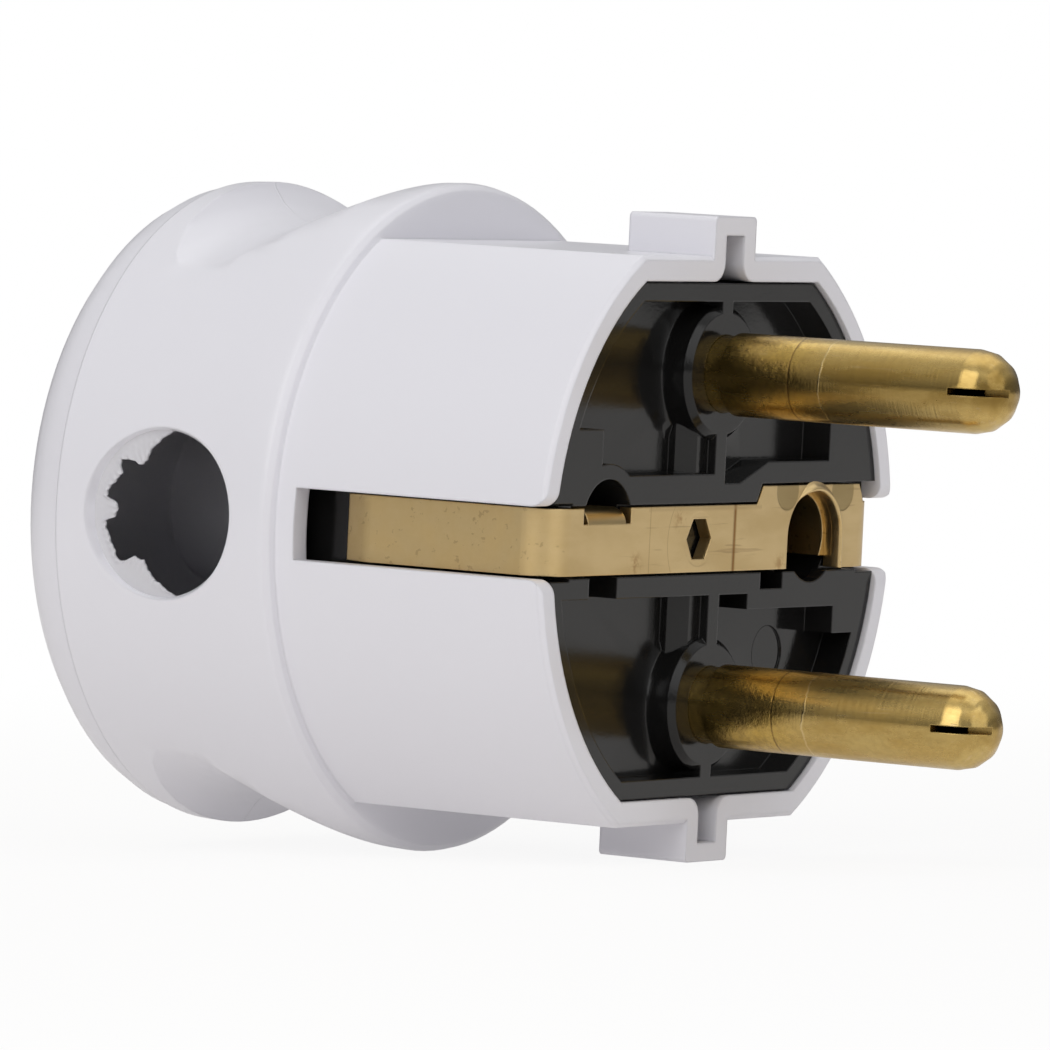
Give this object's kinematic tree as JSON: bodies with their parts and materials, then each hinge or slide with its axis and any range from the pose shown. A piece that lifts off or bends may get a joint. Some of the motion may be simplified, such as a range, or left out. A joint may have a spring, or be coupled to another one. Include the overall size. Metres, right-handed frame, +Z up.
{
  "type": "angled plug",
  "caption": "Round white plug with pins at the front, side earth clips, an earth contact in a black insert and a cord entry in the side of its grip.",
  "frame": {"origin": "on the plug's centre line, in the plane of the front rim, midway between the pins", "axes": "+X out along the pins, +Z up through both pins, cord entry towards -Y"},
  "size_m": [0.0561, 0.039, 0.039],
  "materials": {
    "white_plastic": "thermoset moulding, satin gloss",
    "black_plastic": "black moulding, glossy bosses",
    "pin_brass": "rolled brass, fine rub marks",
    "strap_brass": "stamped brass, satin",
    "terminal_brass": "machined brass",
    "zinc_steel": "zinc-plated steel"
  },
  "bodies": {
    "root": {"housing": "white_plastic", "pin_carrier": "black_plastic", "upper_pin": "pin_brass", "lower_pin": "pin_brass", "earth_strap": "strap_brass", "earth_socket_sleeve": "strap_brass", "upper_terminal_block": "terminal_brass", "lower_terminal_block": "terminal_brass", "earth_terminal_block": "terminal_brass", "upper_terminal_screw": "zinc_steel", "lower_terminal_screw": "zinc_steel", "earth_terminal_screw": "zinc_steel", "upper_wire_leaf": "zinc_steel", "lower_wire_leaf": "zinc_steel", "earth_wire_leaf": "zinc_steel", "fixing_screw": "zinc_steel", "fixing_washer": "zinc_steel", "fixing_nut": "zinc_steel"}
  },
  "joints": []
}
